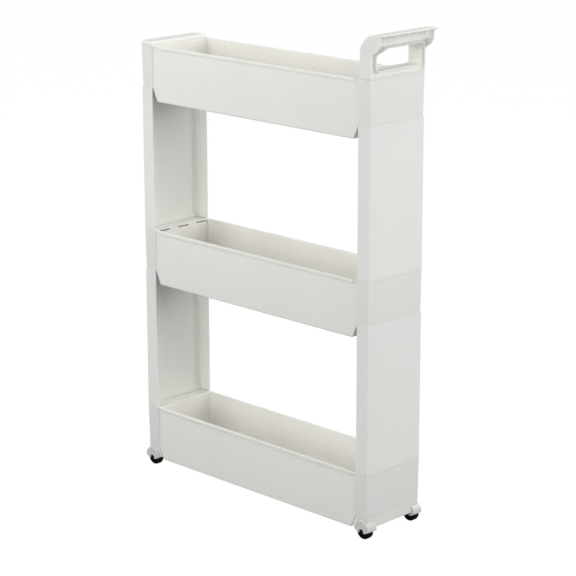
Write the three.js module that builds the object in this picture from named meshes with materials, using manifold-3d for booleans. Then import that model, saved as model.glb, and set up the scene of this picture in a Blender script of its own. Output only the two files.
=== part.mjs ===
// Slim rolling pantry cart. Three identical trays are stacked on C-shaped end panels, with a pull handle
// plugged into one end and a blanking cap into the other, and the tower stands on four fixed casters.
// Units are millimetres with +Z up. +X is the handle end, and Y runs across the narrow width.
import * as THREE from 'three';
import { mergeVertices } from 'three/addons/utils/BufferGeometryUtils.js';
import Module from 'manifold-3d';

const wasm = await Module();
wasm.setup();

// ---------------------------------------------------------------- driving dimensions
const towerLength = 500; // over the outer faces of the two ends
const towerWidth = 121;
const endDepth = 24.5; // depth along X of a panel, collar, foot or cap
const tierPitch = 305; // rim to rim
const tierCount = 3;
const lowestRim = 105;
const gap = 0.3; // between mating pieces
const cornerRadius = 3; // upright outer corners

const trayDepth = 91;
const trayWall = 2.4;
const wallSetback = 1.5; // long tray walls stand back from the collar sides
const collarHeight = 68.5;
const collarWall = 2.5;
const endWallInset = 28.7; // inner face of a tray's end wall, from the tower's end
const chamferLength = 11; // along X, at the tray's lower ends
const rimHeight = 5.2;
const rimWidth = 4;
const rimRadius = 1.2;
const rimStop = 9; // the rim bead stops this far short of a collar
const rimTailHeight = 1.8; // thin strip that carries the rim on into the collar
const rimTailInset = 0.3; // back from the bead's outer face
const rimTailReach = 0.5; // into the collar
const insideCornerRadius = 6;

const webThickness = 4.6;
const webStripThickness = 2.6;
const webStripWidth = 12.7;
const stripMargin = 10; // the thin strips stop this far short of a panel's two ends
const flangeThickness = 2.6;
const flangeRootThickness = 3.4;
const flangeRootDepth = 13;
const spigotHeight = 12;
const spigotWall = 2.4;
const spigotRadius = 1;
const bandHeight = 6; // thickened band that carries a panel's spigot
const bandInset = 0.5; // from the panel's outer faces
const bandSetback = 2; // from the collar's inner face

const tongueCount = 3;
const tongueWidth = 20;
const tonguePitch = 38;
const tongueReach = 8.5; // below the ledge
const tongueRoot = 2; // buried in the piece the tongues hang from
const slotLength = 24;
const slotPitch = 42;
const slotWidth = 3;
const slotInset = 22.4; // centre line, from the tower's end

const axleHeight = 13;
const axleInset = 10.7; // from the tower's end
const axleRadius = 4;
const axleChamfer = 0.5;
const axleEndInset = 0.3; // each axle end, from the hood's cheek
const wheelRadius = 13;
const wheelWidth = 10.6;
const wheelInset = 2; // outer face of a wheel, from the tower's side
const wheelDish = 1.6; // depth of the ring-shaped hollow in a wheel's face
const dishDraft = 0.5; // how far the hollow's two walls lean in
const hubThickness = 2.5;
const treadThickness = 2.8; // at the wheel's face
const treadChamfer = 1.3;
const hoodRadius = 15.4;
const hoodHeight = 16.5; // centre of the hood's round top
const hoodProud = 2.1; // beyond the tower's side
const hoodWidth = 19.1;
const hoodEdgeHeight = 15.5; // lower edge at the hood's two ends
const hoodEdgeDip = 5.5; // how far the lower edge dips under the axle
const wellClearance = 1; // around a wheel's tread
const cheekClearance = 0.7; // beside a wheel's faces
const keyholeClearance = 0.5; // around an axle
const footTop = lowestRim - collarHeight;
const footHeight = 18.4;
const footWall = 2.5;
const footSpigotHeight = 10;

const handleHeight = 68;
const handleSetback = 1.5; // the handle's back, from the collar's inner face
const handleWall = 2.4;
const faceStraight = 35; // the cheeks' front edge is upright for this height
const faceBendRadius = 5;
const gripBendRadius = 3;
const browReach = 11; // then leans out to here
const browHeight = 42;
const gripReach = 16; // then turns up towards the lip
const gripHeight = 50;
const lipReach = 18; // underside of the lip
const lipOverhang = 24.5;
const lipThickness = 3.5;
const lipTaper = 1; // the lip's end leans out by this much
const shoulderRadius = 31;
const shoulderRadiusInside = 25;
const shoulderDrop = 2; // the top falls this much from the lip to the back
const shoulderShell = 36; // the closed shoulder starts this far up the back
const faceRecess = 5;
const leanStart = 38.5; // the wall behind the recess leans forward from this height
const leanEnd = 49.5; // and stands up again behind the fingertips
const fingerWallReach = 7;
const uprightWidth = 13.5;
const sillHeight = 11.5;
const holeTopHeight = 46;
const holeLowerRadius = 5;
const holeUpperRadius = 12;
const topSkin = 3;

const capHeight = 6;
const capEndRadius = 4;
const capEndWall = 8;
const capSideWall = 3;
const capBackWall = 5.2;
const capSkin = 2.4;

const halfLength = towerLength / 2;
const halfWidth = towerWidth / 2;
const topRim = lowestRim + tierPitch * (tierCount - 1);
const bodyEnd = halfLength - endDepth; // where a tray's box ends and its collar begins
const hoodOverhang = hoodRadius - axleInset;

const creamWhite = { color: 0xe6e4df, roughness: 0.42, metalness: 0 };
const coolWhite = { color: 0xe4e5e4, roughness: 0.4, metalness: 0 };
const black = { color: 0x0c0c0c, roughness: 0.5, metalness: 0 };

// ---------------------------------------------------------------- solids
function solid(geometry) {
  const bare = geometry.clone();
  bare.deleteAttribute('normal');
  bare.deleteAttribute('uv');
  const merged = mergeVertices(bare, 1e-3);
  return new wasm.Manifold(new wasm.Mesh({
    numProp: 3,
    vertProperties: Float32Array.from(merged.attributes.position.array),
    triVerts: Uint32Array.from(merged.index.array),
  }));
}

function join(...solids) {
  return solids.reduce((whole, piece) => whole.add(piece));
}

function meshOf(name, shape, finish) {
  const { vertProperties, triVerts } = shape.getMesh();
  const geometry = new THREE.BufferGeometry();
  geometry.setAttribute('position', new THREE.BufferAttribute(vertProperties, 3));
  geometry.setIndex(new THREE.BufferAttribute(triVerts, 1));
  geometry.computeVertexNormals();
  const mesh = new THREE.Mesh(geometry, new THREE.MeshStandardMaterial(finish));
  mesh.name = name;
  return mesh;
}

function boxGeometry([x0, x1], [y0, y1], [z0, z1]) {
  const geometry = new THREE.BoxGeometry(x1 - x0, y1 - y0, z1 - z0);
  return geometry.translate((x0 + x1) / 2, (y0 + y1) / 2, (z0 + z1) / 2);
}

function block(xs, ys, zs) {
  return solid(boxGeometry(xs, ys, zs));
}

// Outline through corners given as [u, v] or [u, v, radius], each round corner as an arc.
function outline(corners, arcSteps = 6) {
  const points = [];
  corners.forEach(([u, v, radius = 0], i) => {
    const corner = new THREE.Vector2(u, v);
    if (!radius) {
      points.push(corner);
      return;
    }
    const [pu, pv] = corners[(i + corners.length - 1) % corners.length];
    const [nu, nv] = corners[(i + 1) % corners.length];
    const back = new THREE.Vector2(pu, pv).sub(corner).normalize();
    const ahead = new THREE.Vector2(nu, nv).sub(corner).normalize();
    const halfAngle = Math.acos(back.dot(ahead)) / 2;
    const centre = back.clone().add(ahead).normalize()
      .multiplyScalar(radius / Math.sin(halfAngle)).add(corner);
    const from = back.clone().multiplyScalar(radius / Math.tan(halfAngle)).add(corner).sub(centre);
    const sweep = Math.sign(back.cross(ahead)) * (Math.PI - 2 * halfAngle);
    for (let step = 0; step <= arcSteps; step += 1) {
      const turned = from.clone().rotateAround(new THREE.Vector2(), (-sweep * step) / arcSteps);
      points.push(turned.add(centre));
    }
  });
  return new THREE.Shape(points);
}

function extruded(shape, depth) {
  return new THREE.ExtrudeGeometry(shape, { depth, bevelEnabled: false });
}

// Outline in X-Z, carried along Y.
function alongY(shape, [y0, y1]) {
  return solid(extruded(shape, y1 - y0).rotateX(Math.PI / 2).translate(0, y1, 0));
}

// Outline in Y-Z, carried along X.
function alongX(shape, [x0, x1]) {
  const axes = new THREE.Matrix4().makeBasis(
    new THREE.Vector3(0, 1, 0), new THREE.Vector3(0, 0, 1), new THREE.Vector3(1, 0, 0));
  return solid(extruded(shape, x1 - x0).applyMatrix4(axes).translate(x0, 0, 0));
}

// Outline in X-Y, carried along Z.
function alongZ(shape, [z0, z1]) {
  return solid(extruded(shape, z1 - z0).translate(0, 0, z0));
}

function diskOutline(x, z, radius, steps) {
  const points = [];
  for (let step = 0; step < steps; step += 1) {
    const angle = (2 * Math.PI * step) / steps;
    points.push(new THREE.Vector2(x + radius * Math.cos(angle), z + radius * Math.sin(angle)));
  }
  return new THREE.Shape(points);
}

// A row of blocks across the width, used for tongues and for the slots they enter.
function row(count, pitch, length, xs, zs) {
  const blocks = [];
  for (let i = 0; i < count; i += 1) {
    const y = (i - (count - 1) / 2) * pitch;
    blocks.push(block(xs, [y - length / 2, y + length / 2], zs));
  }
  return join(...blocks);
}

// Everything at a tower end is drawn at the +X end and turned half round for the -X end.
function turned(shape) {
  const halfTurn = new THREE.Matrix4().makeRotationZ(Math.PI);
  return shape.transform(halfTurn.elements);
}

// ---------------------------------------------------------------- shared end sections
// Plan of an end block: round outer corners, square where it meets the tray.
function endPlan(inset, innerX, radius) {
  const x = halfLength - inset;
  const y = halfWidth - inset;
  return outline([[innerX, -y], [x, -y, radius], [x, y, radius], [innerX, y]], 4);
}

function tongues(ledge, top) {
  const xs = [halfLength - webThickness, halfLength - collarWall - gap];
  return row(tongueCount, tonguePitch, tongueWidth, xs, [ledge - tongueReach, top]);
}

// ---------------------------------------------------------------- tray
function trayEnd(rim) {
  const collar = alongZ(endPlan(0, bodyEnd - 1, cornerRadius), [rim - collarHeight, rim]);
  const socketX = [halfLength - endWallInset + trayWall, halfLength - collarWall];
  const socketY = halfWidth - collarWall;
  const socket = block(socketX, [-socketY, socketY], [rim - collarHeight - 1, rim - collarWall]);
  const tongueX = [halfLength - webThickness - gap, halfLength - collarWall];
  const plate = [rim - collarWall - 1, rim + 1];
  const tongueSlots = row(tongueCount, tonguePitch, tongueWidth + 2 * gap, tongueX, plate);
  const slotX = [halfLength - slotInset - slotWidth / 2, halfLength - slotInset + slotWidth / 2];
  const openSlots = row(tongueCount, slotPitch, slotLength, slotX, plate);
  return { collar, cuts: join(socket, tongueSlots, openSlots) };
}

// The bead and its thin tail, on the +Y wall.
function rimEdge(rim) {
  const root = halfWidth - rimWidth;
  const bottom = rim - rimHeight;
  const beadX = bodyEnd - rimStop;
  const bead = alongX(outline([
    [root, bottom], [halfWidth, bottom], [halfWidth, rim, rimRadius], [root, rim, rimRadius],
  ], 3), [-beadX, beadX]);
  const tailX = bodyEnd + rimTailReach;
  const tailY = [root + rimTailInset, halfWidth - rimTailInset];
  return join(bead, block([-tailX, tailX], tailY, [rim - rimTailHeight, rim]));
}

function tray(rim) {
  const bottom = rim - trayDepth;
  const shoulder = rim - collarHeight;
  const lean = chamferLength / (shoulder - bottom);
  const wallY = halfWidth - wallSetback;
  const body = alongY(outline([
    [-bodyEnd, rim], [-bodyEnd, shoulder], [-bodyEnd + chamferLength, bottom],
    [bodyEnd - chamferLength, bottom], [bodyEnd, shoulder], [bodyEnd, rim],
  ]), [-wallY, wallY]);

  const insideX = halfLength - endWallInset;
  const insideY = wallY - trayWall;
  const skewedWall = trayWall * Math.hypot(1, lean); // the sloping end's thickness along X
  const insideFloor = bottom + trayWall;
  const floorX = bodyEnd - chamferLength + trayWall * lean - skewedWall;
  const bendZ = shoulder - (bodyEnd - skewedWall - insideX) / lean;
  const hollowSide = alongY(outline([
    [-insideX, rim + 1], [-insideX, bendZ], [-floorX, insideFloor],
    [floorX, insideFloor], [insideX, bendZ], [insideX, rim + 1],
  ]), [-insideY, insideY]);
  const hollowPlan = alongZ(outline([
    [-insideX, -insideY, insideCornerRadius], [insideX, -insideY, insideCornerRadius],
    [insideX, insideY, insideCornerRadius], [-insideX, insideY, insideCornerRadius],
  ], 4), [bottom, rim + 2]);
  const hollow = hollowSide.intersect(hollowPlan);

  const edge = rimEdge(rim);

  const end = trayEnd(rim);
  const farEnd = { collar: turned(end.collar), cuts: turned(end.cuts) };
  return join(body, end.collar, farEnd.collar).subtract(hollow).add(edge).add(mirroredY(edge))
    .subtract(end.cuts).subtract(farEnd.cuts);
}

// ---------------------------------------------------------------- end panel
function panel(lowerRim) {
  const bottom = lowerRim + gap;
  const top = lowerRim + tierPitch - collarHeight - gap;
  const openX = bodyEnd - 1;
  const shell = alongZ(endPlan(0, bodyEnd, cornerRadius), [bottom, top]);
  const rootY = halfWidth - flangeRootThickness;
  const lipY = halfWidth - flangeThickness;
  const throat = [bottom - 1, top + 1];
  const channel = join(
    block([openX, halfLength - webThickness], [-rootY, rootY], throat),
    block([openX, halfLength - flangeRootDepth], [-lipY, lipY], throat));
  const stripX = [halfLength - webThickness - 1, halfLength - webStripThickness];
  const stripZ = [bottom + stripMargin, top - stripMargin];
  const strips = join(
    block(stripX, [rootY - webStripWidth, rootY], stripZ),
    block(stripX, [-rootY, webStripWidth - rootY], stripZ));

  const spigotInset = collarWall + gap;
  const spigotY = halfWidth - spigotInset - spigotWall;
  const bandX = bodyEnd + bandSetback;
  const band = alongZ(endPlan(bandInset, bandX, cornerRadius), [top - bandHeight, top]);
  const spigot = alongZ(endPlan(spigotInset, bandX, spigotRadius), [top - bandHeight, top + spigotHeight]);
  const bore = block([openX, halfLength - spigotInset - spigotWall], [-spigotY, spigotY],
    [top - bandHeight - 1, top + spigotHeight + 1]);
  const plug = join(band, spigot).subtract(bore);
  return join(shell.subtract(channel).subtract(strips), plug, tongues(lowerRim, bottom + tongueRoot));
}

// ---------------------------------------------------------------- handle
const handleBase = topRim + gap;
const handleTop = topRim + handleHeight;
const handleBack = bodyEnd + handleSetback;
const recessFace = halfLength - faceRecess;

// Side outline of the cheeks: straight back, round shoulder, and a lip carried out over the end.
function cheekOutline() {
  return outline([
    [handleBack, handleBase], [halfLength, handleBase],
    [halfLength, handleBase + faceStraight, faceBendRadius],
    [halfLength + browReach, handleBase + browHeight, gripBendRadius],
    [halfLength + gripReach, handleBase + gripHeight, gripBendRadius],
    [halfLength + lipReach, handleTop - lipThickness],
    [halfLength + lipOverhang - lipTaper, handleTop - lipThickness],
    [halfLength + lipOverhang, handleTop],
    [handleBack, handleTop - shoulderDrop, shoulderRadius],
  ], 8);
}

// Recess between the cheeks, from the base plate up to the lip. The wall behind it leans out at mid height.
function frontHollow(ys) {
  const outside = halfLength + lipOverhang + 1;
  const fingerWall = halfLength + fingerWallReach;
  return alongY(outline([
    [recessFace, handleBase + handleWall], [outside, handleBase + handleWall],
    [outside, handleTop - topSkin], [fingerWall, handleTop - topSkin],
    [fingerWall, handleBase + leanEnd], [recessFace, handleBase + leanStart],
  ]), ys);
}

// Hollow on the other side of that wall, open to the back under a shell over the shoulder.
function backHollow(ys) {
  const shellX = handleBack + handleWall;
  const wallX = recessFace - handleWall;
  const fingerWall = halfLength + fingerWallReach - handleWall;
  const slope = (leanEnd - leanStart) / (fingerWall - wallX);
  const rise = handleWall * (Math.hypot(1, slope) - slope); // keeps the leaning wall's thickness
  return alongY(outline([
    [handleBack - 1, handleBase + handleWall], [wallX, handleBase + handleWall],
    [wallX, handleBase + leanStart + rise], [fingerWall, handleBase + leanEnd + rise],
    [fingerWall, handleTop - topSkin],
    [shellX, handleTop - topSkin - shoulderDrop / 2, shoulderRadiusInside],
    [shellX, handleBase + shoulderShell], [handleBack - 1, handleBase + shoulderShell],
  ], 8), ys);
}

function handHoleOutline(grow) {
  const side = halfWidth - uprightWidth + grow;
  const sill = handleBase + sillHeight - grow;
  const head = topRim + holeTopHeight + grow;
  const lower = holeLowerRadius + grow;
  const upper = holeUpperRadius + grow;
  return outline([[-side, sill, lower], [side, sill, lower], [side, head, upper], [-side, head, upper]]);
}

function handle() {
  const cheeks = alongY(cheekOutline(), [-halfWidth, halfWidth]);
  const insideY = [handleWall - halfWidth, halfWidth - handleWall];
  const holeWall = alongX(handHoleOutline(handleWall), [handleBack, halfLength + lipOverhang]);
  const handHole = alongX(handHoleOutline(0), [handleBack - 1, halfLength + lipOverhang + 1]);
  return cheeks.subtract(frontHollow(insideY)).subtract(backHollow(insideY))
    .add(holeWall.intersect(cheeks)).subtract(handHole)
    .add(tongues(topRim, handleBase + tongueRoot));
}

// ---------------------------------------------------------------- blanking cap
function rearCap() {
  const base = topRim + gap;
  const top = topRim + capHeight;
  const plan = alongZ(endPlan(0, bodyEnd + gap, cornerRadius), [base, top]);
  const front = alongX(outline([
    [-halfWidth, base], [halfWidth, base], [halfWidth, top, capEndRadius], [-halfWidth, top, capEndRadius],
  ], 5), [bodyEnd, halfLength]);
  const pocket = block([bodyEnd + capSideWall, halfLength - capBackWall],
    [capEndWall - halfWidth, halfWidth - capEndWall], [base - 1, top - capSkin]);
  return turned(plan.intersect(front).subtract(pocket).add(tongues(topRim, base + tongueRoot)));
}

// ---------------------------------------------------------------- foot, caster housings and wheels
const axleX = halfLength - axleInset;
const hoodOuterY = halfWidth + hoodProud;
const hoodInnerY = hoodOuterY - hoodWidth;

// Side outline of a caster housing: round top, and a shallow curve along its lower edge.
function hoodOutline(grow) {
  const radius = hoodRadius + grow;
  const points = [];
  const domeSteps = 20;
  for (let step = 0; step <= domeSteps; step += 1) {
    const angle = (Math.PI * step) / domeSteps;
    points.push(new THREE.Vector2(axleX + radius * Math.cos(angle), hoodHeight + radius * Math.sin(angle)));
  }
  const edgeSteps = 10;
  for (let step = 0; step <= edgeSteps; step += 1) {
    const across = (2 * step) / edgeSteps - 1;
    const dip = hoodEdgeDip * (1 - across * across);
    points.push(new THREE.Vector2(axleX + radius * across, hoodEdgeHeight - grow - dip));
  }
  return new THREE.Shape(points);
}

// A round hole about the axle, left open downwards.
function keyhole(radius, steps, ys) {
  return join(
    alongY(diskOutline(axleX, axleHeight, radius, steps), ys),
    block([axleX - radius, axleX + radius], ys, [-1, axleHeight]));
}

function housing() {
  const wheelOuterY = halfWidth - wheelInset;
  const wellY = [wheelOuterY - wheelWidth - cheekClearance, wheelOuterY + cheekClearance];
  const well = keyhole(wheelRadius + wellClearance, 32, wellY);
  const axleSlot = keyhole(axleRadius + keyholeClearance, 20, [hoodInnerY - 1, hoodOuterY + 1]);
  return alongY(hoodOutline(0), [hoodInnerY, hoodOuterY]).subtract(well).subtract(axleSlot);
}

function foot() {
  const bottom = footTop - footHeight - gap;
  const top = footTop - gap;
  const lean = chamferLength / (trayDepth - collarHeight);
  const innerTop = bodyEnd + gap;
  const innerBottom = innerTop - (top - bottom) * lean;
  const plan = alongZ(endPlan(0, innerBottom, cornerRadius), [bottom, top]);

  // Side outline that leans along the tray's sloping end.
  const side = (inset, low, high) => outline([
    [halfLength + 1, low], [halfLength + 1, high], [innerTop + inset, high],
    [innerBottom + inset - (bottom - low) * lean, low],
  ]);
  const shell = plan.intersect(alongY(side(0, bottom, top), [-halfWidth, halfWidth]));
  const insideY = [footWall - halfWidth, halfWidth - footWall];
  const hollow = alongY(side(footWall, bottom - 1, top - footWall), insideY)
    .intersect(block([innerBottom, halfLength - footWall], insideY, [0, footTop]));

  const spigotInset = collarWall + gap;
  const spigotX = bodyEnd + bandSetback;
  const spigotY = halfWidth - spigotInset - spigotWall;
  const bore = block([spigotX + spigotWall, halfLength - spigotInset - spigotWall],
    [-spigotY, spigotY], [top, top + footSpigotHeight + 1]);
  const spigot = alongZ(endPlan(spigotInset, spigotX, spigotRadius), [top - 1, top + footSpigotHeight]);

  // Room for the caster housings, with a gap all round.
  const nookY = [hoodInnerY - gap, hoodOuterY + 1];
  const nook = join(
    alongY(hoodOutline(gap), nookY),
    block([axleX - hoodRadius - gap, halfLength + 1], nookY, [0, hoodHeight]));
  return shell.subtract(hollow).add(spigot.subtract(bore)).subtract(nook).subtract(mirroredY(nook));
}

function mirroredY(shape) {
  return shape.transform(new THREE.Matrix4().makeScale(1, -1, 1).elements);
}

// Closed profile of [radius, distance along the axle], turned about the axle and centred on y.
function spunAboutAxle(profile, steps, y) {
  const points = profile.map(([radius, along]) => new THREE.Vector2(radius, along));
  return solid(new THREE.LatheGeometry(points, steps).translate(axleX, y, axleHeight));
}

function wheel() {
  const half = wheelWidth / 2;
  const dished = half - wheelDish;
  const bore = axleRadius + gap;
  const hub = bore + hubThickness;
  const treadInside = wheelRadius - treadThickness;
  const face = [
    [bore, half], [hub, half], [hub + dishDraft, dished], [treadInside - dishDraft, dished],
    [treadInside, half], [wheelRadius - treadChamfer, half], [wheelRadius, half - treadChamfer],
  ];
  const farFace = face.map(([radius, along]) => [radius, -along]);
  const profile = [...farFace, ...face.toReversed(), farFace[0]];
  return spunAboutAxle(profile, 32, halfWidth - wheelInset - half);
}

function axle() {
  const half = hoodWidth / 2 - axleEndInset;
  const profile = [
    [0, -half], [axleRadius - axleChamfer, -half], [axleRadius, axleChamfer - half],
    [axleRadius, half - axleChamfer], [axleRadius - axleChamfer, half], [0, half],
  ];
  return spunAboutAxle(profile, 24, (hoodOuterY + hoodInnerY) / 2);
}

// ---------------------------------------------------------------- assembly
const cart = new THREE.Group();
cart.name = 'pantry_cart';
cart.position.x = (hoodOverhang - lipOverhang) / 2; // the origin lies under the middle of the whole cart

const tierNames = ['bottom', 'middle', 'top'];
tierNames.forEach((tier, i) => {
  cart.add(meshOf(`${tier}_tray`, tray(lowestRim + i * tierPitch), creamWhite));
});

for (const [i, storey] of ['lower', 'upper'].entries()) {
  const front = panel(lowestRim + i * tierPitch);
  cart.add(meshOf(`front_${storey}_panel`, front, coolWhite));
  cart.add(meshOf(`rear_${storey}_panel`, turned(front), coolWhite));
}

cart.add(meshOf('pull_handle', handle(), creamWhite));
cart.add(meshOf('rear_cap', rearCap(), creamWhite));

const frontFoot = foot();
cart.add(meshOf('front_foot', frontFoot, creamWhite));
cart.add(meshOf('rear_foot', turned(frontFoot), creamWhite));

const casterPieces = { housing: [housing(), creamWhite], wheel: [wheel(), black], axle: [axle(), black] };
for (const [piece, [shape, finish]] of Object.entries(casterPieces)) {
  cart.add(meshOf(`front_left_${piece}`, shape, finish));
  cart.add(meshOf(`front_right_${piece}`, mirroredY(shape), finish));
  cart.add(meshOf(`rear_left_${piece}`, turned(mirroredY(shape)), finish));
  cart.add(meshOf(`rear_right_${piece}`, turned(shape), finish));
}

export default cart;
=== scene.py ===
import math

import bmesh
import bpy
from mathutils import Matrix, Vector


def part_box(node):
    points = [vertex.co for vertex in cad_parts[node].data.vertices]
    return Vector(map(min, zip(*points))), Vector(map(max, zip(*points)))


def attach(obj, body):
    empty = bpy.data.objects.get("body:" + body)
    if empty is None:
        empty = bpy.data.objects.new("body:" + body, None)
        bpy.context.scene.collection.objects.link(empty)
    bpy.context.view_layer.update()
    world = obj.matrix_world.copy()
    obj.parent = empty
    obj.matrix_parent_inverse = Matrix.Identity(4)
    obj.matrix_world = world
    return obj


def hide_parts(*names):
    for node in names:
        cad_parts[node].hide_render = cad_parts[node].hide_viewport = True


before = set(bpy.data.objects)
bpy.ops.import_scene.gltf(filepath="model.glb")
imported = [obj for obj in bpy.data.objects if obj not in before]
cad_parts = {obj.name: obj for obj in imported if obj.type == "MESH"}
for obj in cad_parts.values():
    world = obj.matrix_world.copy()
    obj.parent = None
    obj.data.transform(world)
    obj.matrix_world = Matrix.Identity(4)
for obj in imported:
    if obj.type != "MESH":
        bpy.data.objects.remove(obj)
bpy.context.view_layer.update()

# ------------------------------------------------------------------ places, in millimetres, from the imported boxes
# Every piece is drawn with x = 0 in the middle of the tower. A piece of an end is drawn at the +X end, and turned
# half round for the -X end. A caster's piece is drawn at the +X, +Y corner, and turned or mirrored for the others.
MM = 1000
TOUCH = 0.01            # places closer than this are taken as the same
PAST = 1.0              # how far a cutter runs past what it cuts


def box_mm(node):
    low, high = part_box(node)
    return Vector(low) * MM, Vector(high) * MM


tray_low, tray_high = box_mm("bottom_tray")
handle_low, handle_high = box_mm("pull_handle")
cap_top = box_mm("rear_cap")[1].z
foot_low, foot_high = box_mm("front_foot")
hood_low, hood_high = box_mm("front_left_housing")
wheel_low, wheel_high = box_mm("front_left_wheel")
axle_low, axle_high = box_mm("front_left_axle")
panel_low, panel_high = box_mm("front_lower_panel")

middle_x = (tray_low.x + tray_high.x) / 2
half_length = (tray_high.x - tray_low.x) / 2
half_width = (tray_high.y - tray_low.y) / 2
tray_depth = tray_high.z - tray_low.z
rims = {tier: box_mm(f"{tier}_tray")[1].z for tier in ("bottom", "middle", "top")}
body_end = panel_low.x - middle_x
tongue_reach = rims["bottom"] - panel_low.z

# Gaps
GAP = 0.3               # all round a piece that plugs into another
SEAM = 0.1              # where two pieces meet in plain view
JOINT_LINE = 0.04       # between a foot and the collar that it carries on from
FOOT_GAP_SPREAD = 1.3   # how much the gap beside the tray opens towards the bottom of a foot

# The tower's ends
CORNER_RADIUS = 3.0
COLLAR_WALL = 2.5
COLLAR_DRAFT = 0.9      # how far a collar is drawn in at its foot
INNER_CORNER_RADIUS = 1.3
WEB = 4.6               # of a panel, along the tower
STRIP_WEB = 2.6         # the thinner web of the two sunk strips
STRIP_WIDTH = 12.7
STRIP_MARGIN = 10.0     # above and below the strips
FLANGE_ROOT = 3.4       # a panel's sides, near the web
FLANGE_LIP = 2.6        # and out to their free edges
FLANGE_STEP = 13.0      # from the tower's end to where they thin
BAND_HEIGHT = 6.0       # of the stepped band under a panel's spigot
BAND_SETBACK = 0.5
SPIGOT_WALL = 2.4
SPIGOT_HEIGHT = 12.0
SPIGOT_CORNER_RADIUS = 1.0
FOOT_SPIGOT_HEIGHT = 10.0
PLUG = COLLAR_WALL + GAP

# Tongues under the panels, handle and cap, and the openings beside them, in rows across the width
IN_ROW = 3
TONGUE_PITCH, TONGUE_LENGTH = 38.0, 20.0
VENT_PITCH, VENT_LENGTH = 42.0, 24.0
VENT_INSETS = 23.9, 20.9    # from the tower's end, of the vents through a tray's ledge
SLIT_HEIGHTS = -3.4, -1.2   # of the slits at the head of an end wall

# Trays
TRAY_WALL = 2.4
WALL_SETBACK = 1.5      # from the rim's face in to the wall's
CHAMFER_LENGTH = 11.0
END_WALL_INSET = 28.7
RIM_HEIGHT = 5.2
RIM_THICKNESS = 4.0
RIM_STOP = 9.0          # from the tray body's end to the end of the rim's full height
RIM_TAIL_HEIGHT = 1.8
RIM_TAIL_SETBACK = 0.15
BOTTOM_RADIUS = 2.2
SLOPE_RADIUS = 1.4
FLOOR_RADIUS = 3.0
WELL_CORNER_RADIUS = 6.0

# Handle and cap
HANDLE_WALL = 2.4
LIP_THICKNESS = 3.5
BACK_RADIUS = 31.0      # of the handle's back, where it turns over into the grip
HOLE_MARGIN = 13.5      # from each side of the handle to the hand hole
FINGER_RADIUS = 6.5     # of the finger channel's ends
RIBS, RIB_PITCH, RIB_DEPTH = 11, 10.0, 0.3
CAP_ROOF = 2.6
CAP_SIDE = 8.0
CAP_INNER_WALL, CAP_END_WALL = 2.7, 5.2
SHOULDER_SHARE = 0.7    # of the cap's height

# Casters
HOOD_EDGE_HEIGHT = 15.5
HOOD_SAG = 5.5          # of the edge, in the middle of the hood
SAG_STEPS = 12
HOOD_INNER_RADIUS, HOOD_OUTER_RADIUS = 0.8, 2.4
WELL_ROOM = 1.0         # round the wheel
WELL_SIDE_ROOM = 0.7
KEYHOLE_RADIUS = 4.5
WHEEL_DISH = 1.6

collar_height = rims["middle"] - GAP - (panel_high.z - SPIGOT_HEIGHT)
panel_top = panel_high.z - SPIGOT_HEIGHT - rims["bottom"] + GAP - SEAM
foot_joint = foot_high.z - FOOT_SPIGOT_HEIGHT + GAP - JOINT_LINE
top_seam = rims["top"] + SEAM
wall_y = half_width - WALL_SETBACK
inside_x = half_length - END_WALL_INSET
end_lean = CHAMFER_LENGTH / (tray_depth - collar_height)

axle_x = (wheel_low.x + wheel_high.x) / 2 - middle_x
axle_z = (wheel_low.z + wheel_high.z) / 2
wheel_radius = (wheel_high.z - wheel_low.z) / 2
hood_radius = (hood_high.x - hood_low.x) / 2
hood_centre_z = hood_high.z - hood_radius


# ------------------------------------------------------------------ mesh code
def rounded(corners, steps=8):
    """Outline through (u, v) or (u, v, radius) corners, with each round corner as an arc."""
    points = []
    for i, corner in enumerate(corners):
        here = Vector(corner[:2])
        radius = corner[2] if len(corner) > 2 else 0
        if not radius:
            points.append(here)
            continue
        back = (Vector(corners[i - 1][:2]) - here).normalized()
        ahead = (Vector(corners[(i + 1) % len(corners)][:2]) - here).normalized()
        half = math.acos(back.dot(ahead)) / 2
        centre = here + (back + ahead).normalized() * (radius / math.sin(half))
        start = here + back * (radius / math.tan(half)) - centre
        turn = math.pi - 2 * half
        if back.x * ahead.y - back.y * ahead.x > 0:
            turn = -turn
        for step in range(steps + 1):
            points.append(centre + Matrix.Rotation(turn * step / steps, 2) @ start)
    return points


PLACING = {
    "x": lambda u, v, w: (w, u, v),
    "y": lambda u, v, w: (u, w, v),
    "z": lambda u, v, w: (u, v, w),
}


def body_of(bm):
    """An object that holds the mesh, with its faces turned outwards."""
    bmesh.ops.recalc_face_normals(bm, faces=bm.faces)
    mesh = bpy.data.meshes.new("shape")
    bm.to_mesh(mesh)
    bm.free()
    made = bpy.data.objects.new("shape", mesh)
    bpy.context.scene.collection.objects.link(made)
    return made


def loft(rings, axis):
    """Closed body through (outline, distance along the axis) rings of equal point counts."""
    bm = bmesh.new()
    loops = [[bm.verts.new(PLACING[axis](p[0], p[1], w)) for p in points] for points, w in rings]
    bm.faces.new(loops[0])
    bm.faces.new(loops[-1][::-1])
    for lower, upper in zip(loops, loops[1:]):
        for i in range(len(lower)):
            j = (i + 1) % len(lower)
            bm.faces.new((lower[i], lower[j], upper[j], upper[i]))
    return body_of(bm)


def prism(points, axis, low, high):
    return loft([(points, low), (points, high)], axis)


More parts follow.
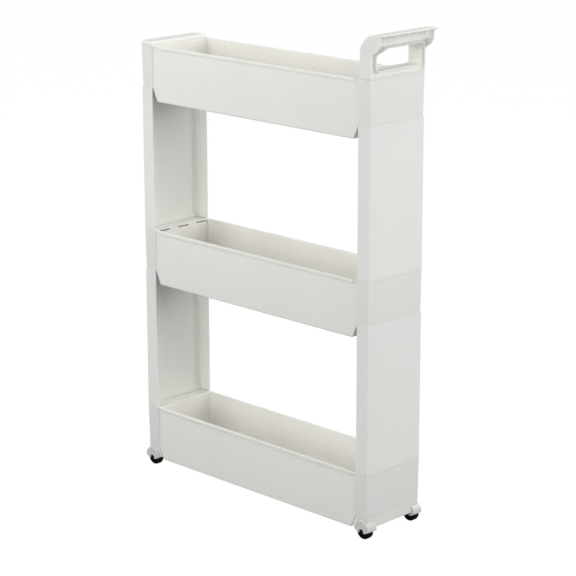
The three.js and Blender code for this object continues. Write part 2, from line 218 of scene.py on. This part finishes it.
def inset(corners, depth):
    """The same corners with every side moved inwards, and each round corner tightened or eased to suit."""
    area = sum(a[0] * b[1] - b[0] * a[1] for a, b in zip(corners, corners[1:] + corners[:1]))
    made = []
    for i, corner in enumerate(corners):
        here = Vector(corner[:2])
        back = (Vector(corners[i - 1][:2]) - here).normalized()
        ahead = (Vector(corners[(i + 1) % len(corners)][:2]) - here).normalized()
        half = math.acos(back.dot(ahead)) / 2
        side = 1 if (ahead.x * back.y - ahead.y * back.x) * area > 0 else -1
        moved_to = here + (back + ahead).normalized() * (side * depth / math.sin(half))
        radius = [max(corner[2] - side * depth, 0.2)] if len(corner) > 2 else []
        made.append((*moved_to, *radius))
    return made


def quarter(radius, steps=4):
    """(depth, distance) pairs down a quarter round, from the flat end to the side."""
    turns = [math.pi / 2 * step / steps for step in range(steps + 1)]
    return [(radius * (1 - math.sin(a)), radius * (1 - math.cos(a))) for a in turns]


def pillow(corners, axis, low, high, edge, steps=8):
    """Prism whose two ends have rounded edges."""
    rings = [(rounded(inset(corners, depth), steps), low + along) for depth, along in quarter(edge)]
    rings += [(rounded(inset(corners, depth), steps), high - along) for depth, along in quarter(edge)[::-1]]
    return loft(rings, axis)


def block(xs, ys, zs):
    (x0, x1), (y0, y1), (z0, z1) = xs, ys, zs
    return prism([(x0, y0), (x1, y0), (x1, y1), (x0, y1)], "z", z0, z1)


def spun(profile, centre, steps=64):
    """Body of (radius, distance) profile points turned about an axle along Y."""
    bm = bmesh.new()
    rings = []
    for step in range(steps):
        angle = 2 * math.pi * step / steps
        c, s = math.cos(angle), math.sin(angle)
        rings.append([
            bm.verts.new((centre[0] + r * c, centre[1] + along, centre[2] + r * s)) for r, along in profile
        ])
    for i in range(steps):
        here, there = rings[i], rings[(i + 1) % steps]
        for j in range(len(profile)):
            k = (j + 1) % len(profile)
            if max(profile[j][0], profile[k][0]) > 1e-6:
                bm.faces.new((here[j], here[k], there[k], there[j]))
    bmesh.ops.remove_doubles(bm, verts=bm.verts, dist=1e-4)
    return body_of(bm)


def combine(operation, base, *others):
    for other in others:
        modifier = base.modifiers.new("combine", "BOOLEAN")
        modifier.operation = operation
        modifier.solver = "EXACT"
        modifier.object = other
    bpy.context.view_layer.update()
    evaluated = base.evaluated_get(bpy.context.evaluated_depsgraph_get())
    mesh = bpy.data.meshes.new_from_object(evaluated)
    base.modifiers.clear()
    spent = [base.data]
    base.data = mesh
    for other in others:
        spent.append(other.data)
        bpy.data.objects.remove(other)
    for old in spent:
        bpy.data.meshes.remove(old)
    return base


def join(base, *others):
    return combine("UNION", base, *others)


def cut(base, *others):
    return combine("DIFFERENCE", base, *others)


def common(base, *others):
    return combine("INTERSECT", base, *others)


def soften(made, pick, width, segments=4):
    """Rounds the edges whose two ends pick() accepts."""
    bm = bmesh.new()
    bm.from_mesh(made.data)
    edges = [e for e in bm.edges if pick(e.verts[0].co, e.verts[1].co)]
    bmesh.ops.bevel(
        bm, geom=edges, offset=width, segments=segments, profile=0.5, affect="EDGES", clamp_overlap=False)
    bm.to_mesh(made.data)
    bm.free()


def moved(made, matrix):
    """A copy of the body under a transform, still facing outwards."""
    copy = made.copy()
    copy.data = made.data.copy()
    copy.data.transform(matrix)
    if matrix.determinant() < 0:
        copy.data.flip_normals()
    bpy.context.scene.collection.objects.link(copy)
    return copy


HALF_TURN = Matrix.Rotation(math.pi, 4, "Z")
MIRROR_Y = Matrix.Scale(-1, 4, (0, 1, 0))
ENDS = {"front": Matrix(), "rear": HALF_TURN}
CORNERS = {
    "front_left": Matrix(), "front_right": MIRROR_Y, "rear_left": HALF_TURN @ MIRROR_Y, "rear_right": HALF_TURN,
}


# ------------------------------------------------------------------ what the pieces of an end share
def end_plan(setback, inner_x, radius, inner_radius=0, steps=6):
    """Plan of an end piece, from inner_x out to the tower's end, set back from the end and both sides."""
    x = half_length - setback
    y = half_width - setback
    return rounded([
        (inner_x, -y, inner_radius), (x, -y, radius), (x, y, radius), (inner_x, y, inner_radius),
    ], steps)


def row(pitch, length, xs, zs):
    """Equal blocks in a row across the width."""
    made = []
    for i in range(IN_ROW):
        y = (i - (IN_ROW - 1) / 2) * pitch
        made.append(block(xs, (y - length / 2, y + length / 2), zs))
    return made


def tongues(rim_z, top):
    """Three tongues that reach down through the slots of the tray under a piece."""
    xs = (half_length - WEB, half_length - COLLAR_WALL - GAP)
    return row(TONGUE_PITCH, TONGUE_LENGTH, xs, (rim_z - tongue_reach, top))


# ------------------------------------------------------------------ tray, with its rim at z = 0
def tray_body():
    """The tray before it is hollowed, with sloping lower ends."""
    body = prism([
        (-body_end, 0), (-body_end, -collar_height), (-body_end + CHAMFER_LENGTH, -tray_depth),
        (body_end - CHAMFER_LENGTH, -tray_depth), (body_end, -collar_height), (body_end, 0),
    ], "y", -wall_y, wall_y)
    below = -collar_height - 1

    def on_slope(a, b):
        on_side = abs(a.y) == abs(b.y) == wall_y
        lower, upper = sorted((a.z, b.z))
        return on_side and lower < below and upper < TOUCH - collar_height and upper - lower > 5

    soften(body, lambda a, b: a.z < below and b.z < below, BOTTOM_RADIUS)
    soften(body, on_slope, SLOPE_RADIUS)
    return body


def tray_hollow():
    """What is taken out of the body: upright end walls above, and sloping ones below."""
    inside_y = wall_y - TRAY_WALL
    skewed = TRAY_WALL * math.hypot(1, end_lean)
    floor_z = TRAY_WALL - tray_depth
    floor_x = body_end - CHAMFER_LENGTH + TRAY_WALL * end_lean - skewed
    bend_z = -collar_height - (body_end - skewed - inside_x) / end_lean
    hollow = prism([
        (-inside_x, 2), (-inside_x, bend_z), (-floor_x, floor_z),
        (floor_x, floor_z), (inside_x, bend_z), (inside_x, 2),
    ], "y", -inside_y, inside_y)
    soften(hollow, lambda a, b: a.z < floor_z + 0.1 and b.z < floor_z + 0.1, FLOOR_RADIUS)
    plan = prism(rounded([
        (-inside_x, -inside_y, WELL_CORNER_RADIUS), (inside_x, -inside_y, WELL_CORNER_RADIUS),
        (inside_x, inside_y, WELL_CORNER_RADIUS), (-inside_x, inside_y, WELL_CORNER_RADIUS),
    ]), "z", -tray_depth, 3)
    return common(hollow, plan)


def rim():
    """The +Y rim: a bead along the wall, and the thinner tail that carries on past it into the corners."""
    bead_x = body_end - RIM_STOP
    bead_y = half_width - RIM_THICKNESS
    bead = prism(rounded([
        (bead_y, -RIM_HEIGHT), (half_width, -RIM_HEIGHT, 0.5), (half_width, 0, 1.5), (bead_y, 0, 1.2),
    ], 5), "x", -bead_x, bead_x)
    tail_y = half_width - RIM_TAIL_SETBACK
    tail = prism(rounded([
        (wall_y - 1, -RIM_TAIL_HEIGHT), (tail_y, -RIM_TAIL_HEIGHT, 0.5), (tail_y, 0, 0.8), (wall_y - 1, 0),
    ], 5), "x", -body_end - 0.5, body_end + 0.5)
    return tail, bead


def tray(end_slits):
    """A tray with a hollow collar at each end. Slits are let into the head of each end wall if asked for."""
    collar = loft([
        (end_plan(COLLAR_DRAFT, body_end - 1, CORNER_RADIUS, INNER_CORNER_RADIUS), -collar_height),
        (end_plan(0, body_end - 1, CORNER_RADIUS, INNER_CORNER_RADIUS), 0),
    ], "z")
    socket_y = half_width - COLLAR_WALL
    socket = block((inside_x + TRAY_WALL, half_length - COLLAR_WALL), (-socket_y, socket_y),
                   (-collar_height - PAST, -COLLAR_WALL))
    plate = (-COLLAR_WALL - PAST, PAST)
    slots = row(TONGUE_PITCH, TONGUE_LENGTH + 2 * GAP, (half_length - WEB - GAP, half_length - COLLAR_WALL), plate)
    vents = row(VENT_PITCH, VENT_LENGTH, [half_length - depth for depth in VENT_INSETS], plate)
    cutters = [socket, *slots, *vents]
    if end_slits:
        cutters += row(VENT_PITCH, VENT_LENGTH, (inside_x - PAST, inside_x + TRAY_WALL + PAST), SLIT_HEIGHTS)
    far_cutters = [moved(c, HALF_TURN) for c in cutters]

    whole = join(tray_body(), collar, moved(collar, HALF_TURN))
    cut(whole, tray_hollow())
    near_rim = rim()
    join(whole, *near_rim, *(moved(strip, MIRROR_Y) for strip in near_rim))
    return cut(whole, *cutters, *far_cutters)


# ------------------------------------------------------------------ end panel, above a rim at z = 0
def panel():
    """C-shaped channel, open towards the trays, with a stepped spigot on top and tongues below."""
    open_x = body_end - PAST
    root_y = half_width - FLANGE_ROOT
    lip_y = half_width - FLANGE_LIP
    throat = (SEAM - PAST, panel_top + PAST)
    strip_x = (half_length - WEB - PAST, half_length - STRIP_WEB)
    strip_z = (SEAM + STRIP_MARGIN, panel_top - STRIP_MARGIN)
    shell = prism(end_plan(0, body_end, CORNER_RADIUS), "z", SEAM, panel_top)
    cut(shell,
        block((open_x, half_length - WEB), (-root_y, root_y), throat),
        block((open_x, half_length - FLANGE_STEP), (-lip_y, lip_y), throat),
        block(strip_x, (root_y - STRIP_WIDTH, root_y), strip_z),
        block(strip_x, (-root_y, STRIP_WIDTH - root_y), strip_z))

    band_x = body_end + 2
    band_z = panel_top - BAND_HEIGHT
    band = prism(end_plan(BAND_SETBACK, band_x, CORNER_RADIUS), "z", band_z, panel_top)
    join(band, prism(end_plan(PLUG, band_x, SPIGOT_CORNER_RADIUS), "z", band_z, panel_top + SPIGOT_HEIGHT))
    bore_y = half_width - PLUG - SPIGOT_WALL
    cut(band, block((open_x, half_length - PLUG - SPIGOT_WALL), (-bore_y, bore_y),
                    (band_z - PAST, panel_top + SPIGOT_HEIGHT + PAST)))
    return join(shell, band, *tongues(0, SEAM + 2))


# ------------------------------------------------------------------ handle and cap, on the top rim
def hand_hole(sill, head, grow=0):
    """Outline of the hand hole across the handle, grown all round."""
    side = half_width - HOLE_MARGIN + grow
    low, high = sill - grow, head + grow
    return rounded([
        (-side, low, 5 + grow), (side, low, 5 + grow), (side, high, 12 + grow), (-side, high, 12 + grow),
    ], 10)


def handle():
    """Cheeks that lean out into a lip, with a recess, a hand hole, and a ribbed channel for the fingers."""
    base = rims["top"] + GAP
    top = handle_high.z
    back = handle_low.x - middle_x
    tip = handle_high.x - middle_x
    inside_y = half_width - HANDLE_WALL
    lip = top - LIP_THICKNESS
    bend, slope_end, neck = base + 35, base + 42, base + 50
    cheeks = pillow([
        (back, top_seam), (half_length, top_seam), (half_length, bend, 5), (half_length + 11, slope_end, 3),
        (half_length + 16, neck, 3), (half_length + 18, lip, 1), (tip - 1, lip, 0.6),
        (tip, top, 0.8), (back, top - 2, BACK_RADIUS),
    ], "y", -half_width, half_width, 0.9, 12)

    face_x, finger_x, outside_x = half_length - 5, half_length + 7, tip + PAST
    lean_start, lean_end = base + 38.5, base + 49.5
    recess_top, channel_top = lean_end + PAST, top - 3
    recess = prism(rounded([
        (face_x, base + HANDLE_WALL, 0.8), (outside_x, base + HANDLE_WALL), (outside_x, recess_top),
        (finger_x, recess_top), (finger_x, lean_end), (face_x, lean_start),
    ], 6), "y", -inside_y, inside_y)
    finger_channel = prism(rounded([
        (finger_x, -inside_y, FINGER_RADIUS), (outside_x, -inside_y), (outside_x, inside_y),
        (finger_x, inside_y, FINGER_RADIUS),
    ], 10), "z", lean_end + 0.5, channel_top)

    # The back is hollowed to the same wall, with its sloping part moved up so that the wall keeps its thickness.
    shell_x, behind_x = back + HANDLE_WALL, back - PAST
    wall_rise = HANDLE_WALL * math.tan(math.atan2(finger_x + 5 - half_length, lean_end - lean_start) / 2)
    back_hollow = prism(rounded([
        (behind_x, base + HANDLE_WALL), (face_x - HANDLE_WALL, base + HANDLE_WALL, 0.8),
        (face_x - HANDLE_WALL, lean_start + wall_rise), (finger_x - HANDLE_WALL, lean_end + wall_rise),
        (finger_x - HANDLE_WALL, channel_top, 1.2), (shell_x, top - 4, 23.5), (shell_x, bend + 1, 1),
        (behind_x, bend + 1),
    ], 10), "y", -inside_y, inside_y)

    hole_heights = base + 11.5, rims["top"] + 46
    ring = common(prism(hand_hole(*hole_heights, HANDLE_WALL), "x", back, tip), moved(cheeks, Matrix()))
    cut(cheeks, recess, finger_channel, back_hollow)
    join(cheeks, ring)
    cut(cheeks, prism(hand_hole(*hole_heights), "x", behind_x, outside_x))
    rib_x = (finger_x - 1, finger_x + RIB_DEPTH)
    rib_ys = [RIB_PITCH * (i - RIBS // 2) for i in range(RIBS)]
    ribs = [block(rib_x, (y - 0.5, y + 0.5), (lean_end + 1.5, top - 2.5)) for y in rib_ys]
    return join(cheeks, *ribs, *tongues(rims["top"], base + 2))


def rear_cap():
    """Low lid with two rounded shoulders, hollow below."""
    inner = body_end + GAP
    plan = prism(end_plan(0, inner, CORNER_RADIUS), "z", top_seam, cap_top)
    shoulder = (cap_top - top_seam) * SHOULDER_SHARE
    front = prism(rounded([
        (-half_width, top_seam), (half_width, top_seam), (half_width, cap_top, shoulder),
        (-half_width, cap_top, shoulder),
    ]), "x", body_end, half_length + PAST)
    common(plan, front)
    pocket_y = half_width - CAP_SIDE
    cut(plan, block((inner + CAP_INNER_WALL, half_length - CAP_END_WALL), (-pocket_y, pocket_y),
                    (top_seam - PAST, cap_top - CAP_ROOF)))
    return join(plan, *tongues(rims["top"], top_seam + 2))


# ------------------------------------------------------------------ foot and casters
def hood_outline(grow, drop, steps=32):
    """The arch of the hood, grown all round, over its sagging lower edge, which is lowered by drop."""
    radius = hood_radius + grow
    points = []
    for step in range(steps + 1):
        angle = math.pi * step / steps
        points.append((axle_x + radius * math.cos(angle), hood_centre_z + radius * math.sin(angle)))
    for step in range(SAG_STEPS + 1):
        across = 2 * step / SAG_STEPS - 1
        points.append((axle_x + radius * across, HOOD_EDGE_HEIGHT - drop - HOOD_SAG * (1 - across * across)))
    return points


def keyhole(radius, ys, steps=24):
    """A round hole about the axle, open downwards."""
    points = [(axle_x + radius * math.cos(math.pi * i / steps), axle_z + radius * math.sin(math.pi * i / steps))
              for i in range(steps + 1)]
    return prism(points + [(axle_x - radius, -PAST), (axle_x + radius, -PAST)], "y", *ys)


def housing():
    """Domed hood, rounded more towards its outer face, with a well for the wheel and a keyhole for its pin."""
    inner, outer = hood_low.y, hood_high.y
    rings = [(hood_outline(-depth, -depth), inner + along) for depth, along in quarter(HOOD_INNER_RADIUS)]
    rings += [(hood_outline(-depth, -0.3 * depth), outer - along)
              for depth, along in quarter(HOOD_OUTER_RADIUS, 6)[::-1]]
    well_y = (wheel_low.y - WELL_SIDE_ROOM, wheel_high.y + WELL_SIDE_ROOM)
    return cut(loft(rings, "y"),
               keyhole(wheel_radius + WELL_ROOM, well_y, 32),
               keyhole(KEYHOLE_RADIUS, (inner - PAST, outer + PAST)))


def foot():
    """Hollow foot that carries on the collar above it, with a sloping side and a nook for each hood."""
    bottom = foot_low.z
    inner_top = body_end + GAP
    inner_bottom = inner_top - (foot_joint - bottom) * end_lean + FOOT_GAP_SPREAD

    def side(offset, low, high):
        return [(half_length + PAST, low), (half_length + PAST, high), (inner_top + offset, high),
                (inner_bottom + offset - (bottom - low) * end_lean, low)]

    shell = prism(end_plan(COLLAR_DRAFT, inner_bottom, CORNER_RADIUS), "z", bottom, foot_joint)
    common(shell, prism(side(0, bottom, foot_joint), "y", -half_width, half_width))
    inside_y = half_width - COLLAR_WALL
    hollow = common(
        prism(side(COLLAR_WALL, bottom - PAST, foot_joint - COLLAR_WALL), "y", -inside_y, inside_y),
        block((inner_bottom, half_length - COLLAR_WALL), (-inside_y - PAST, inside_y + PAST), (0, foot_joint)))

    spigot_x = body_end + 2
    bore_y = half_width - PLUG - SPIGOT_WALL
    spigot = prism(end_plan(PLUG, spigot_x, SPIGOT_CORNER_RADIUS), "z", foot_joint - 1,
                   foot_joint + FOOT_SPIGOT_HEIGHT)
    cut(spigot, block((spigot_x + SPIGOT_WALL, half_length - PLUG - SPIGOT_WALL), (-bore_y, bore_y),
                      (foot_joint, foot_joint + FOOT_SPIGOT_HEIGHT + PAST)))

    nook_y = (hood_low.y - GAP, hood_high.y + PAST)
    nook = prism(hood_outline(GAP, GAP), "y", *nook_y)
    join(nook, block((axle_x - hood_radius - GAP, half_length + PAST), nook_y, (0, hood_centre_z)))
    cut(shell, hollow)
    join(shell, spigot)
    return cut(shell, nook, moved(nook, MIRROR_Y))


def both_faces(face):
    """Profile of a round body that is the same on both sides, from the (radius, distance) points of one."""
    return [(radius, -along) for radius, along in face] + face[::-1]


def wheel():
    """Dished on both faces: a hub ring, a sunk disc, and a tyre with a rounded shoulder."""
    half = (wheel_high.y - wheel_low.y) / 2
    dish = half - WHEEL_DISH
    hub = [(4.3, half), (6.4, half), (6.8, half - 0.4), (7.0, dish)]
    tyre = [(9.7, dish), (10.0, half - 0.5), (10.4, half), (wheel_radius - 1.5, half),
            (wheel_radius - 0.9, half - 0.2), (wheel_radius - 0.3, half - 0.8), (wheel_radius, dish)]
    return spun(both_faces(hub + tyre), (axle_x, (wheel_low.y + wheel_high.y) / 2, axle_z))


def axle():
    """Pin with rounded ends."""
    half = (axle_high.y - axle_low.y) / 2
    r = (axle_high.z - axle_low.z) / 2
    face = [(0, half), (r - 1.3, half), (r - 0.5, half - 0.25), (r - 0.1, half - 0.7), (r, half - 1.2)]
    return spun(both_faces(face), (axle_x, (axle_low.y + axle_high.y) / 2, axle_z), 48)


# ------------------------------------------------------------------ materials
def mapped(nodes, links, position, scale):
    mapping = nodes.new("ShaderNodeMapping")
    mapping.inputs["Scale"].default_value = scale
    links.new(position, mapping.inputs["Vector"])
    return mapping.outputs["Vector"]


def ranged(nodes, links, value, low, high):
    """The middle part of a noise, spread from low to high."""
    node = nodes.new("ShaderNodeMapRange")
    node.inputs["From Min"].default_value = 0.3
    node.inputs["From Max"].default_value = 0.7
    node.inputs["To Min"].default_value = low
    node.inputs["To Max"].default_value = high
    links.new(value, node.inputs["Value"])
    return node.outputs["Result"]


def noise(nodes, links, vector, scale, detail=3.0):
    node = nodes.new("ShaderNodeTexNoise")
    node.inputs["Scale"].default_value = scale
    node.inputs["Detail"].default_value = detail
    links.new(vector, node.inputs["Vector"])
    return node.outputs["Fac"]


def bumped(nodes, links, height, strength, distance):
    node = nodes.new("ShaderNodeBump")
    node.inputs["Strength"].default_value = strength
    node.inputs["Distance"].default_value = distance
    links.new(height, node.inputs["Height"])
    return node


def moulded_plastic(name, light, dark, roughness, grain, ripple, glow=0.0):
    """Moulded plastic: faint mottling along the melt's flow, satin with duller patches, a ripple and a grain.

    Colours are linear. grain and ripple are depths in metres. glow is the weight of light passing under the skin.
    """
    material = bpy.data.materials.new(name)
    material.use_nodes = True
    nodes, links = material.node_tree.nodes, material.node_tree.links
    shader = nodes["Principled BSDF"]
    shader.inputs["IOR"].default_value = 1.49
    if glow:
        shader.inputs["Subsurface Weight"].default_value = glow
        shader.inputs["Subsurface Radius"].default_value = (1.0, 1.0, 0.95)
        shader.inputs["Subsurface Scale"].default_value = 0.004
    position = nodes.new("ShaderNodeTexCoord").outputs["Object"]
    flow = noise(nodes, links, mapped(nodes, links, position, (1.0, 1.0, 0.35)), 14)
    patches = noise(nodes, links, position, 55)
    fine = noise(nodes, links, position, 1400, 2)
    warp = noise(nodes, links, mapped(nodes, links, position, (1.0, 1.0, 0.6)), 9, 1)

    tint = nodes.new("ShaderNodeMix")
    tint.data_type = "RGBA"
    tint.inputs["A"].default_value = (*dark, 1)
    tint.inputs["B"].default_value = (*light, 1)
    links.new(ranged(nodes, links, flow, 0, 1), tint.inputs["Factor"])
    links.new(tint.outputs["Result"], shader.inputs["Base Color"])
    links.new(ranged(nodes, links, patches, roughness - 0.05, roughness + 0.06), shader.inputs["Roughness"])

    wavy = bumped(nodes, links, warp, 0.6, ripple)
    grained = bumped(nodes, links, fine, 0.5, grain)
    links.new(wavy.outputs["Normal"], grained.inputs["Normal"])
    links.new(grained.outputs["Normal"], shader.inputs["Normal"])
    return material


WARM = moulded_plastic(
    "warm_white_plastic", (0.875, 0.864, 0.808), (0.862, 0.85, 0.79), 0.42, 0.00003, 0.0008, 0.4)
COOL = moulded_plastic(
    "cool_white_plastic", (0.87, 0.87, 0.822), (0.857, 0.857, 0.806), 0.40, 0.00003, 0.0008, 0.4)
# Painted shade: the hoods are the same white plastic as the rest, given a darker colour so that their crowns look
# less lit
HOOD_PAINTED_SHADE = moulded_plastic(
    "hood_plastic_painted_shade", (0.69, 0.69, 0.65), (0.68, 0.678, 0.637), 0.45, 0.00003, 0.0006, 0.4)
BLACK = moulded_plastic(
    "black_plastic", (0.002, 0.002, 0.002), (0.001, 0.001, 0.001), 0.5, 0.00002, 0.0002)
BLACK.node_tree.nodes["Principled BSDF"].inputs["Specular IOR Level"].default_value = 0.12


# ------------------------------------------------------------------ placing the pieces
PLACE = Matrix.Scale(1 / MM, 4) @ Matrix.Translation((middle_x, 0, 0))
FLAT_ENOUGH = math.radians(28)


def weigh_edges(mesh, stays_sharp, seams, fillets):
    """Marks the edges to be rounded off: those that turn sharply, and half as much at the height of a seam.

    Inner corners are rounded only where fillets are asked for.
    """
    bm = bmesh.new()
    bm.from_mesh(mesh)
    weight = bm.edges.layers.float.new("bevel_weight_edge")
    for edge in bm.edges:
        if edge.calc_face_angle(0) > FLAT_ENOUGH:
            a, b = (v.co for v in edge.verts)
            edge.smooth = (edge.is_convex or fillets) and not stays_sharp(a, b)
            at_seam = any(abs(a.z - z) < TOUCH and abs(b.z - z) < TOUCH for z in seams)
            edge[weight] = edge.smooth * (0.5 if at_seam else 1)
    bm.to_mesh(mesh)
    bm.free()


def finish_piece(shape, node, body, material, round_off=0.45, turn=Matrix(),
                 stays_sharp=lambda a, b: False, seams=(), fillets=True):
    """Puts a copy of the shape in the place of a CAD node, in metres, with small rounded edges."""
    piece = moved(shape, Matrix())
    weigh_edges(piece.data, stays_sharp, seams, fillets)
    piece.data.transform(PLACE @ turn)
    if turn.determinant() < 0:
        piece.data.flip_normals()
    piece.name = f"{node}_visual"
    piece.data.name = piece.name
    piece.data.materials.clear()
    piece.data.materials.append(material)
    piece.data.shade_smooth()
    bevel = piece.modifiers.new("round_off", "BEVEL")
    bevel.width = round_off / MM
    bevel.segments = 3
    bevel.limit_method = "WEIGHT"
    bevel.use_clamp_overlap = False
    bevel.harden_normals = True
    weighted = piece.modifiers.new("even_shading", "WEIGHTED_NORMAL")
    weighted.keep_sharp = True
    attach(piece, body)
    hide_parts(node)


def on_rim_end(a, b):
    """On the square ends of the rim beads."""
    rim_end = body_end - RIM_STOP
    return min(abs(abs(p.x) - rim_end) for p in (a, b)) < TOUCH and min(a.z, b.z) > -RIM_HEIGHT - 1


def on_lowest_collar(a, b):
    """On the beads' ends, or round the foot of a collar that a foot piece carries on from."""
    return on_rim_end(a, b) or max(abs(p.z + collar_height) for p in (a, b)) < TOUCH


def on_foot_joint(a, b):
    """Round the top of a foot, where its collar carries on."""
    return abs(a.z - foot_joint) < TOUCH and abs(b.z - foot_joint) < TOUCH


def discard(*shapes):
    for shape in shapes:
        bpy.data.objects.remove(shape)


def place_trays():
    plain, slit = tray(False), tray(True)
    for tier, rim_z in rims.items():
        finish_piece(slit if tier == "middle" else plain, f"{tier}_tray", "root", WARM, 0.5,
                     Matrix.Translation((0, 0, rim_z)), on_lowest_collar if tier == "bottom" else on_rim_end,
                     seams=(0, -collar_height), fillets=False)
    discard(plain, slit)


def place_panels():
    shape = panel()
    for storey, rim_z in (("lower", rims["bottom"]), ("upper", rims["middle"])):
        for end, turn in ENDS.items():
            finish_piece(shape, f"{end}_{storey}_panel", "root", COOL, 0.45,
                         Matrix.Translation((0, 0, rim_z)) @ turn, seams=(SEAM, panel_top))
    discard(shape)


def place_top_pieces():
    grip, lid = handle(), rear_cap()
    finish_piece(grip, "pull_handle", "root", WARM, 0.4, seams=(top_seam,), fillets=False)
    finish_piece(lid, "rear_cap", "root", WARM, 0.5, HALF_TURN, seams=(top_seam,))
    discard(grip, lid)


def place_feet():
    shape = foot()
    for end, turn in ENDS.items():
        finish_piece(shape, f"{end}_foot", "root", WARM, 0.4, turn, on_foot_joint)
    discard(shape)


def place_casters():
    for part, make, material, round_off in (
        ("housing", housing, HOOD_PAINTED_SHADE, 0.4), ("wheel", wheel, BLACK, 0.15), ("axle", axle, BLACK, 0.15),
    ):
        shape = make()
        for corner, turn in CORNERS.items():
            body = "root" if part == "housing" else f"{corner}_wheelset"
            finish_piece(shape, f"{corner}_{part}", body, material, round_off, turn)
        discard(shape)


place_trays()
place_panels()
place_top_pieces()
place_feet()
place_casters()


# ------------------------------------------------------------------ floor, light and camera, in metres
STUDIO_WHITE = (0.998, 1.004, 1.035)
FLOOR_DROP = 0.0002


def studio_floor():
    """Large pale sheet that glows evenly for the camera only, so that it doesn't light the cart from below."""
    bm = bmesh.new()
    side = 30
    corners = ((-1, -1), (1, -1), (1, 1), (-1, 1))
    bm.faces.new([bm.verts.new((x * side, y * side, -FLOOR_DROP)) for x, y in corners])
    floor = body_of(bm)
    floor.name = "studio_floor"
    material = bpy.data.materials.new("pale_floor")
    material.use_nodes = True
    shader = material.node_tree.nodes["Principled BSDF"]
    shader.inputs["Base Color"].default_value = (0.04, 0.04, 0.04, 1)
    shader.inputs["Roughness"].default_value = 1
    shader.inputs["Specular IOR Level"].default_value = 0
    shader.inputs["Emission Color"].default_value = (1, 1, 1, 1)
    shader.inputs["Emission Strength"].default_value = 0.985
    material.cycles.emission_sampling = "NONE"
    floor.data.materials.append(material)
    floor.visible_diffuse = False
    floor.visible_glossy = False
    floor.visible_transmission = False
    floor.visible_shadow = False


def studio_world():
    """White to the camera, and a weaker even light on the cart."""
    world = bpy.data.worlds.new("studio")
    bpy.context.scene.world = world
    world.use_nodes = True
    nodes, links = world.node_tree.nodes, world.node_tree.links
    nodes.clear()
    seen = nodes.new("ShaderNodeBackground")
    lit = nodes.new("ShaderNodeBackground")
    path = nodes.new("ShaderNodeLightPath")
    mix = nodes.new("ShaderNodeMixShader")
    seen.inputs["Color"].default_value = (1, 1, 1, 1)
    lit.inputs["Color"].default_value = (*STUDIO_WHITE, 1)
    lit.inputs["Strength"].default_value = 0.272
    links.new(path.outputs["Is Camera Ray"], mix.inputs["Fac"])
    links.new(lit.outputs["Background"], mix.inputs[1])
    links.new(seen.outputs["Background"], mix.inputs[2])
    out = nodes.new("ShaderNodeOutputWorld")
    links.new(mix.outputs["Shader"], out.inputs["Surface"])


def facing(thing, direction):
    """Adds a lamp or the camera to the scene, looking along the direction."""
    thing.rotation_euler = direction.to_track_quat("-Z", "Y").to_euler()
    bpy.context.scene.collection.objects.link(thing)


def softbox(name, location, side, power):
    """Square area light of power watts, turned to the middle of the cart."""
    light = bpy.data.lights.new(name, "AREA")
    light.shape = "RECTANGLE"
    light.size = light.size_y = side
    light.energy = power
    light.color = STUDIO_WHITE
    lamp = bpy.data.objects.new(name, light)
    lamp.location = location
    facing(lamp, Vector((0, 0, 0.4)) - Vector(location))


def studio_camera():
    """Placed by a fit to the photograph's straight edges."""
    optics = bpy.data.cameras.new("camera")
    optics.sensor_width = 36
    optics.lens = 130.3365625
    optics.shift_x = -0.02312
    optics.shift_y = -0.05
    optics.clip_start, optics.clip_end = 0.1, 100
    camera = bpy.data.objects.new("camera", optics)
    camera.location = (2.24675, -2.27397, 1.23178)
    heading, tilt = 2.340948, math.radians(-14.70698)
    level = math.cos(tilt)
    facing(camera, Vector((level * math.cos(heading), level * math.sin(heading), math.sin(tilt))))
    bpy.context.scene.camera = camera


studio_floor()
studio_world()
softbox("side", (0.5, -2.6, 0.8), 1.0, 20)
softbox("side_near", (-0.8, -1.2, 1.6), 0.6, 8.5)
softbox("rear_end", (-2.4, -0.9, 1.2), 1.2, 16)
softbox("handle_end", (2.5, -0.2, 1.15), 1.2, 23.5)
softbox("handle_end_far", (1.9, 1.6, 1.7), 1.4, 16.7)
softbox("far_side", (0.3, 2.4, 1.2), 1.4, 30)
softbox("overhead", (0.1, 0.5, 1.9), 1.0, 5.7)
studio_camera()

view = bpy.context.scene.view_settings
view.view_transform = "Standard"
view.look = "None"
view.exposure = 0
view.gamma = 1
